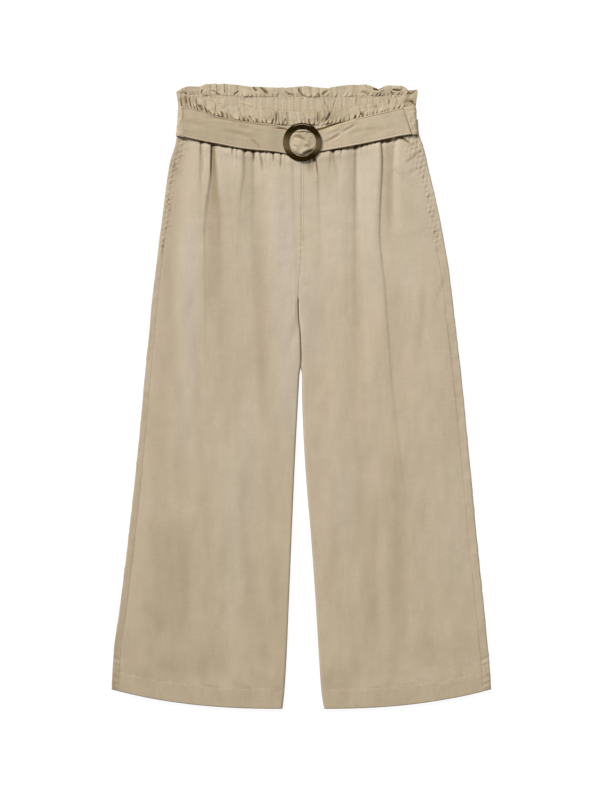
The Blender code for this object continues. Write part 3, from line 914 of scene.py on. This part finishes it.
def make_belt(cloth):
    radius = BELT_TOP / 2
    length = 2 * BELT_TUCK + 2 * math.pi * radius + 2 * WAIST_HALF

    def lay(across, along):
        x, lift, out_x, out_z = belt_track(across * length, radius)
        above = ease(out_z)
        x = x - out_x * BELT_LEAN * along
        foot = mix(BELT_FOOT + 0 * x, belt_foot(x), above)
        head = mix(BELT_HEAD + 0 * x, belt_head(x), above)
        height = mix(foot, head, along)
        edge = np.minimum(along, 1 - along) * (head - foot)
        folded, painted_shade = creases(BELT_CREASES, x, height)
        shape = folded + 0.3 * rumple(x, height, 60, 171) + 0.1 * rumple(x, height, 18, 173)
        lip = 0.6 * bell((edge - 1.1) / 0.8) - 0.35 * bell((edge - 2.6) / 0.9)
        lip = lip - 0.7 * (1 - rounded(edge, 1.1))
        beside_loops = bell((x - mix(166.0, 152.5, along)) / 1.2) * mix(1.6, 0.8, along)
        over_bar = ease((17 - np.abs(x)) / 10) * 1.9
        tucked = 1.2 * bell((np.abs(x) - RIM_X) / 12)
        crumple = 0.5 * rumple(x, height, 15, 172) * ease((20 - np.abs(x)) / 6)
        lift = lift + ease(out_z * 4 - 3) * (shape + lip + over_bar - tucked + crumple - beside_loops)
        from_ring = np.hypot(x - RING_X, height - RING_HEIGHT)
        under_rim = ease((from_ring - 17) / 3) * ease((54 - from_ring) / 25) * (out_z > 0.9)
        lift = np.minimum(lift, mix(lift, RING_LIFT - RING_HALF_THICK - 0.35, under_rim))
        lift = np.where(out_z > 0.9, np.maximum(lift, ON_BAND), lift)
        # Painted shade in the belt's creases and beside the loops, a little all over, over its -x half, and
        # on the wall of its lower edge
        dark = 0.95 * painted_shade + 0.8 * beside_loops + 0.04 + 0.28 * ease((-15 - x) / 25)
        return x, height, lift, dark + 1.3 * bell(along / 0.003)

    cut, paces = (length, BELT_WIDTH), (EVEN, BELT_ROWS)
    piece = cloth_piece("belt", 330, 44, lay, cut, BELT_WALL, cloth, ("belt_front",), paces)

    def under(across, along):
        x = waist_x(across, -BELT_TUCK - GAP)
        return x, mix(BELT_FOOT, BELT_HEAD, along), 1.6 + 0 * x

    piece = cloth_piece("belt_under", 40, 6, under, (324, BELT_WIDTH), 1.6, cloth, ("belt_back",))


def make_loop(name, way, foot_reach, head_reach, node, cloth):
    end = WAIST_CENTRE + way * WAIST_HALF
    radius = BELT_TOP / 2 + 0.25

    def lay(across, along):
        outward = across if way > 0 else 1 - across
        reach = mix(foot_reach, head_reach, along)
        middle = end - way * BELT_LEAN * along
        angle = math.pi / 2 - np.clip((outward - 0.5) / 0.5, 0, 1) * math.radians(130)
        at_edge = np.minimum(along, 1 - along) * 45
        wrinkle = 0.45 * rumple(outward * 12, along * 45, 9, 181)
        roll = radius + wrinkle * ease(outward * 3) - 0.6 * (1 - rounded(at_edge, 3))
        flat, turned = middle - way * reach * (1 - outward / 0.5), middle + way * roll * np.cos(angle)
        x = np.where(outward < 0.5, flat, turned)
        lift = BELT_TOP / 2 + 0.5 + roll * np.sin(angle) - 0.5 * (1 - rounded(outward * reach, 1.5))
        height = mix(belt_foot(x) - 1.2, belt_head(x) + 0.6, along)
        return x, height, lift

    piece = cloth_piece(name, 60, 60, lay, (24, 45), LOOP_WALL, cloth, (node,))


def make_ring(horn):
    """A flat-faced ring with rounded edges, spun about its centre, and its bar under the belt."""
    centre = Vector((RING_X * MM, (RING_HEIGHT - LENGTH / 2) * MM, RING_LIFT * MM))
    beside = centre + Vector((RING_MIDDLE * MM, 0, 0))
    section = {"size": 1, "location": beside, "rotation": (math.pi / 2, 0, 0)}
    ring = begin("ring", bpy.ops.mesh.primitive_plane_add, **section)
    ring.scale = (2 * RING_RIM * MM, 2 * RING_HALF_THICK * MM, 1)
    settle()
    edit(True)
    select_parts("SELECT")
    bpy.ops.mesh.bevel(offset=RING_ROUND * MM, segments=6, affect="VERTICES")
    select_parts("SELECT")
    bpy.ops.mesh.delete(type="ONLY_FACE")
    select_parts("SELECT")
    bpy.ops.mesh.spin(steps=120, angle=2 * math.pi, center=centre, axis=(0, 0, 1))
    select_parts("SELECT")
    bpy.ops.mesh.remove_doubles(threshold=0.01 * MM)
    bpy.ops.mesh.normals_make_consistent(inside=False)
    edit(False)
    bpy.ops.object.shade_smooth()
    finish_hard(ring, horn)
    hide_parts("ring_buckle")

    below = centre - Vector((0, 0, BAR_DROP * MM))
    bar = begin("ring_bar", bpy.ops.mesh.primitive_cube_add, size=1, location=below)
    bar.scale = (BAR_WIDTH * MM, 2 * (RING_MIDDLE - 1) * MM, BAR_THICK * MM)
    settle()
    edit(True)
    select_parts("SELECT")
    bpy.ops.mesh.bevel(offset=0.8 * MM, segments=3)
    edit(False)
    bpy.ops.object.shade_smooth()
    finish_hard(bar, horn)


def finish_hard(piece, horn):
    piece.data.materials.append(horn)
    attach(piece, "root")


# Stitching


def make_stitch(thread):
    """One stitch, along x: a short round thread whose ends go down into the cloth."""
    size = {"vertices": 6, "radius": STITCH_THICK / 2 * MM, "depth": STITCH_LENGTH * MM}
    stitch = begin("stitch", bpy.ops.mesh.primitive_cylinder_add, rotation=(0, math.pi / 2, 0), **size)
    settle()
    edit(True)
    select_parts("DESELECT")
    edit(False)
    for face in stitch.data.polygons:
        face.select = abs(face.normal.x) > 0.9
    edit(True)
    bpy.ops.mesh.bevel(offset=0.16 * MM, segments=1)
    edit(False)
    bpy.ops.object.shade_smooth()
    stitch.data.materials.append(thread)
    return stitch


def sew(name, lines, stitch):
    """Copies of the stitch along lines of (x, height, lift), joined into one piece."""
    copies = []
    for line in lines:
        line = place(*np.transpose(line))
        run = np.concatenate([[0], np.cumsum(np.linalg.norm(np.diff(line, axis=0), axis=1))])
        count = int(run[-1] / (STITCH_PITCH * MM))
        for number in range(count):
            middle = (number + 0.5) * run[-1] / count
            near = middle + np.array([-0.5, 0, 0.5]) * STITCH_LENGTH * MM
            points = np.stack([np.interp(near, run, part) for part in line.T], axis=1)
            back, here, ahead = (Vector(point) for point in points)
            copy = stitch.copy()
            copy.data = stitch.data.copy()
            turn = (ahead - back).to_track_quat("X", "Z").to_matrix().to_4x4()
            copy.matrix_world = Matrix.Translation(here) @ turn
            bpy.context.scene.collection.objects.link(copy)
            copies.append(copy)
    bpy.ops.object.select_all(action="DESELECT")
    for copy in copies:
        copy.select_set(True)
    bpy.context.view_layer.objects.active = copies[0]
    bpy.ops.object.join()
    piece = bpy.context.object
    piece.name = name
    settle()
    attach(piece, "root")


def make_all_stitching(thread, pale_thread):
    def on_front(x, height):
        return np.stack([x, height, front_shape(x, height)[0] + 0.12], axis=1)

    hems, sides = [], []
    for side, way in (("right", -1), ("left", 1)):
        low = read(SECTIONS, side + "_inner", np.array([HEM_DEPTH]))[0] + way * 2
        high = read(SECTIONS, side + "_outer", np.array([HEM_DEPTH]))[0] - way * 2
        x = np.linspace(low, high, 240)
        hems.append(on_front(x, hem_line(x) + HEM_DEPTH) + [0, 0, 0.12])
        height = np.linspace(33, 850, 640)
        outer = read(SECTIONS, side + "_outer", height)
        sunk = 0.3 * ease((height - POCKET_FOOT) / 20)
        sides.append(on_front(outer - way * side_inset(outer, height), height) - np.outer(sunk, [0, 0, 1]))
    stitch = make_stitch(pale_thread)
    sew("hem_stitching", hems, stitch)
    stitch.data.materials[0] = thread
    sew("side_stitching", sides, stitch)
    height = np.linspace(702, 818, 100)
    middle = read(SECTIONS, "left_inner", height) + 2.6
    sew("middle_stitching", [on_front(middle, height)], stitch)
    x = np.linspace(WAIST_CENTRE - WAIST_HALF + 3, WAIST_CENTRE + WAIST_HALF - 3, 400)
    line = np.stack([x, back_stitch(x) - 1.0, 4.0 + 0.5 * np.sin(x)], axis=1)
    sew("waist_stitching", [line], stitch)
    x = np.linspace(-150, 150, 400)
    stitch.data.materials[0] = pale_thread
    sew("front_waist_stitching", [np.stack([x, front_stitch(x) - 1.0, 6.95 + 0 * x], axis=1)], stitch)
    bpy.data.objects.remove(stitch)


# Finishes


class Nodes:
    """Nodes laid down one after another."""

    def __init__(self, tree):
        self.tree = tree

    def feed(self, node, inputs):
        """What goes into a node: a link where it comes from another node, and otherwise a value."""
        for name, value in inputs.items():
            if isinstance(value, bpy.types.NodeSocket):
                self.tree.links.new(value, node.inputs[name])
            else:
                node.inputs[name].default_value = value

    def node(self, kind, inputs, **settings):
        made = self.tree.nodes.new(kind)
        for name, value in settings.items():
            setattr(made, name, value)
        self.feed(made, inputs)
        return made

    def calculate(self, operation, *values):
        return self.node("ShaderNodeMath", dict(enumerate(values)), operation=operation).outputs[0]


class Finish(Nodes):
    """A material's nodes."""

    def __init__(self, name):
        self.material = bpy.data.materials.new(name)
        self.material.use_nodes = True
        super().__init__(self.material.node_tree)
        self.shader = self.tree.nodes["Principled BSDF"]

    def coordinates(self):
        return self.node("ShaderNodeTexCoord", {}).outputs

    def noise(self, place, scale, detail, stretch=(1, 1, 1)):
        spread = self.node("ShaderNodeMapping", {"Vector": place, "Scale": stretch}).outputs["Vector"]
        inputs = {"Vector": spread, "Scale": scale, "Detail": detail}
        return self.node("ShaderNodeTexNoise", inputs).outputs["Fac"]

    def threads(self, place, direction, pitch):
        inputs = {"Vector": place, "Scale": 0.314 / pitch, "Distortion": 0.6, "Detail": 1.0}
        kinds = {"wave_type": "BANDS", "bands_direction": direction, "wave_profile": "SIN"}
        return self.node("ShaderNodeTexWave", inputs, **kinds).outputs["Fac"]

    def ramp(self, factor, *stops):
        made = self.node("ShaderNodeValToRGB", {"Fac": factor})
        while len(made.color_ramp.elements) < len(stops):
            made.color_ramp.elements.new(0.5)
        for element, (place, colour) in zip(made.color_ramp.elements, stops):
            element.position = place
            element.color = (*colour, 1)
        return made.outputs["Color"]

    def blend(self, kind, factor, one, other):
        inputs = {"Factor": factor, 6: one, 7: other}
        return self.node("ShaderNodeMix", inputs, data_type="RGBA", blend_type=kind).outputs[2]

    def tint(self, tone, factor, *stops):
        """A tone multiplied by a ramp's."""
        return self.blend("MULTIPLY", 1.0, tone, self.ramp(factor, *stops))

    def sum(self, one, other, weight):
        return self.calculate("MULTIPLY_ADD", other, weight, one)

    def between(self, value, low, high):
        """0 at low and 1 at high, smoothly."""
        inputs = {"Value": value, "From Min": low, "From Max": high}
        return self.node("ShaderNodeMapRange", inputs, interpolation_type="SMOOTHSTEP").outputs["Result"]

    def bump(self, height, distance, strength):
        inputs = {"Height": height, "Distance": distance, "Strength": strength}
        self.feed(self.shader, {"Normal": self.node("ShaderNodeBump", inputs).outputs["Normal"]})


def sand_cloth(name, low, middle, high):
    """A matte plain weave, faintly slubbed both ways, going unevenly from low at the hems to high, partly
    as painted light towards the top.
    """
    finish = Finish(name)
    coordinates = finish.coordinates()
    place, on_cut = coordinates["Object"], coordinates["UV"]
    axes = finish.node("ShaderNodeSeparateXYZ", {0: place}).outputs
    # Painted light: paler and bluer towards the top, as the light falls, mixed with random unevenness
    upward = finish.node("ShaderNodeMapRange", {"Value": axes["Y"], "From Min": -0.47, "From Max": 0.62})
    top_light_and_tone = finish.sum(upward.outputs["Result"], finish.noise(place, 7.0, 2.0, (1, 0.6, 1)), 0.6)
    tone = finish.ramp(top_light_and_tone, (0.3, low), (0.83, middle), (1.0, high))
    # Painted shade towards -x and painted light towards +x, evening out the key lamp's stronger light on
    # the -x side
    painted_light_across = finish.between(axes["X"], -0.3, 0.3)
    tone = finish.tint(tone, painted_light_across, (0, (0.965, 0.966, 0.97)), (1, (1.04, 1.04, 1.04)))
    clouds = finish.noise(place, 34.0, 4.0, (1, 0.42, 1))
    tone = finish.tint(tone, clouds, (0.3, (0.963, 0.966, 0.955)), (0.7, (1.037, 1.034, 1.046)))
    pulls = finish.noise(place, 150.0, 2.0, (1, 0.22, 1))
    tone = finish.tint(tone, pulls, (0.3, (0.978, 0.977, 0.972)), (0.7, (1.022, 1.022, 1.024)))
    slub_across = finish.noise(on_cut, 620.0, 2.0, (0.07, 1, 1))
    slub_along = finish.noise(on_cut, 620.0, 2.0, (1, 0.07, 1))
    slubbed = finish.sum(slub_across, slub_along, 0.6)
    tone = finish.tint(tone, slubbed, (0.55, (0.968, 0.968, 0.962)), (1.05, (1.032, 1.032, 1.032)))
    # The painted shade: darker and browner the more there is, and paler and bluer, as painted light, below
    # plain
    tone = finish.tint(
        tone,
        finish.node("ShaderNodeAttribute", {}, attribute_name="painted_light_and_shade").outputs["Fac"],
        (0.0, (1.015, 1.04, 1.12)),
        (PLAIN_SHADE, (1, 1, 1)),
        (0.36, (0.88, 0.868, 0.84)),
        (0.67, (0.69, 0.635, 0.54)),
        (1.0, (0.24, 0.175, 0.10)),
    )
    weave = finish.sum(finish.threads(on_cut, "X", 0.0005), finish.threads(on_cut, "Y", 0.0005), 1.0)
    relief = finish.sum(weave, slub_across, 0.8)
    relief = finish.sum(relief, finish.noise(place, 160.0, 4.0), 3.0)
    finish.bump(relief, 0.0001, 0.4)
    inputs = {"Base Color": tone, "Roughness": 0.88, "Specular IOR Level": 0.18}
    finish.feed(finish.shader, inputs | {"Sheen Weight": 0.1, "Sheen Roughness": 0.45})
    return finish.material


def thread_finish(name, low, high):
    finish = Finish(name)
    place = finish.coordinates()["Object"]
    tone = finish.ramp(finish.noise(place, 900.0, 2.0), (0.3, low), (0.7, high))
    finish.feed(finish.shader, {"Base Color": tone, "Roughness": 0.7})
    return finish.material


def brown_horn():
    """Polished brown, nearly black across the top and bottom of the ring and olive at its sides, with
    highlights painted along the top of the outer rim and the bottom of the inner rim.
    """
    finish = Finish("brown_horn")
    place = finish.coordinates()["Object"]
    upward = finish.node("ShaderNodeSeparateXYZ", {0: place}).outputs["Y"]
    middle = RING_HEIGHT - LENGTH / 2
    apart = finish.calculate("ABSOLUTE", finish.calculate("SUBTRACT", upward, (middle - 3) * MM))
    cloud = finish.sum(apart, finish.noise(place, 130.0, 3.0), 0.010)
    tone = finish.ramp(
        finish.sum(cloud, cloud, 29.0),
        (0.34, (0.114, 0.081, 0.040)),
        (0.50, (0.050, 0.034, 0.012)),
        (0.66, (0.016, 0.0085, 0.001)),
    )
    centre = (RING_X * MM, middle * MM, RING_LIFT * MM)
    away = finish.node("ShaderNodeVectorMath", {0: place, 1: centre}, operation="DISTANCE").outputs["Value"]

    def edge(value, low, high):
        return finish.between(value, low * MM, high * MM)

    # Painted highlights: pale arcs across the top of the outer rim and the bottom of the inner rim
    outer = finish.calculate("MULTIPLY", edge(away, 25.8, 26.3), edge(away, 27.6, 27.1))
    outer = finish.calculate("MULTIPLY", outer, edge(upward, middle + 22.6, middle + 25.0))
    inner = finish.calculate("MULTIPLY", edge(away, 22.1, 21.5), edge(upward, middle - 18.6, middle - 19.8))
    painted_highlight = (0.18, 0.143, 0.092, 1)
    tone = finish.blend("MIX", finish.sum(outer, inner, 1.0), tone, painted_highlight)
    finish.bump(finish.noise(place, 260.0, 2.0), 0.00012, 0.12)
    # The low IOR keeps the ring brown where it is seen from low down
    finish.feed(finish.shader, {"Base Color": tone, "Roughness": 0.45, "IOR": 1.06})
    return finish.material


# Setting

FLOOR = {"vertices": 96, "radius": 12, "fill_type": "NGON", "location": (0, 0, -0.0002)}
FLOOR_GLOW = 0.92
WORLD_LIGHT = 0.3
VIEW_HEIGHT = 1.2  # metres from the picture's top to its bottom, as far up as the garment's face
VIEW_X = -0.00225
VIEW_Y = -0.006
FACE_LIFT = 0.006
LIT_PLACE = Vector((0, 0.1, 0))  # where every light is turned to


def seen_as_it_is(nodes):
    """1 where the camera sees something, straight or mirrored in a glossy thing or through a clear one."""
    rays = nodes.node("ShaderNodeLightPath", {}).outputs
    either = nodes.calculate("MAXIMUM", rays["Is Camera Ray"], rays["Is Glossy Ray"])
    return nodes.calculate("MAXIMUM", either, rays["Is Transmission Ray"])


def make_floor():
    """A white floor that still takes the garment's shadow, and lights it as pale ground would."""
    floor = begin("floor", bpy.ops.mesh.primitive_circle_add, **FLOOR)
    finish = Finish("floor")
    finish.tree.nodes.remove(finish.shader)
    glow = finish.node("ShaderNodeEmission", {"Strength": FLOOR_GLOW})
    ground = finish.node("ShaderNodeBsdfDiffuse", {"Color": (0.12, 0.12, 0.12, 1)})
    both = finish.node("ShaderNodeAddShader", {0: glow.outputs[0], 1: ground.outputs[0]})
    plain = finish.node("ShaderNodeBsdfDiffuse", {"Color": (0.8, 0.8, 0.8, 1)})
    inputs = {0: seen_as_it_is(finish), 1: plain.outputs[0], 2: both.outputs[0]}
    choice = finish.node("ShaderNodeMixShader", inputs)
    finish.feed(finish.tree.nodes["Material Output"], {"Surface": choice.outputs[0]})
    floor.data.materials.append(finish.material)


def make_light(name, place, size, watts):
    bpy.ops.object.light_add(type="AREA", location=place)
    lamp = bpy.context.object
    lamp.name = name
    lamp.data.size = size
    lamp.data.energy = watts
    lamp.rotation_euler = (LIT_PLACE - Vector(place)).to_track_quat("-Z", "Y").to_euler()


def make_world():
    """White as it is seen, and dimmer as light on the garment."""
    world = bpy.data.worlds.new("studio")
    bpy.context.scene.world = world
    world.use_nodes = True
    nodes = Nodes(world.node_tree)
    inputs = {"Value": seen_as_it_is(nodes), "To Min": WORLD_LIGHT, "To Max": 1.0}
    strength = nodes.node("ShaderNodeMapRange", inputs).outputs["Result"]
    nodes.feed(world.node_tree.nodes["Background"], {"Strength": strength, "Color": (1, 1, 1, 1)})


def make_camera():
    """Straight above the garment, from far enough away that its sides stay square."""
    data = bpy.data.cameras.new("camera")
    camera = bpy.data.objects.new("camera", data)
    bpy.context.scene.collection.objects.link(camera)
    bpy.context.scene.camera = camera
    data.lens = 85
    data.sensor_width = 36
    above = VIEW_HEIGHT * data.lens / data.sensor_width
    camera.location = (VIEW_X, VIEW_Y, above + FACE_LIFT)


def main():
    bpy.context.scene.view_settings.view_transform = "Standard"
    make_camera()
    make_world()
    make_floor()
    make_light("key", (-2.6, 3.25, 2.8), size=0.8, watts=268)
    make_light("fill", (1.6, -0.6, 2.4), size=2.2, watts=9)
    make_light("overhead", (-0.1, 3.2, 2.3), size=1.6, watts=24)

    cloth = sand_cloth("sand_cloth", (0.512, 0.417, 0.284), (0.499, 0.407, 0.291), (0.521, 0.435, 0.322))
    # A darker, yellower copy of the cloth for the waist, belt, frills and loops
    darker_cloth = sand_cloth("doubled_cloth", (0.45, 0.366, 0.25), (0.46, 0.376, 0.258), (0.47, 0.385, 0.265))
    thread = thread_finish("sand_thread", (0.46, 0.378, 0.265), (0.53, 0.44, 0.315))
    pale_thread = thread_finish("pale_thread", (0.80, 0.71, 0.57), (0.90, 0.82, 0.68))
    horn = brown_horn()
    make_backs(cloth)
    make_fronts(cloth)
    make_bands(darker_cloth)
    make_frills(darker_cloth)
    make_belt(darker_cloth)
    make_loop("right_loop", -1, 6.5, 1.5, "belt_loop_right", darker_cloth)
    make_loop("left_loop", 1, 3.2, 13.4, "belt_loop_left", darker_cloth)
    make_ring(horn)
    make_all_stitching(thread, pale_thread)


main()
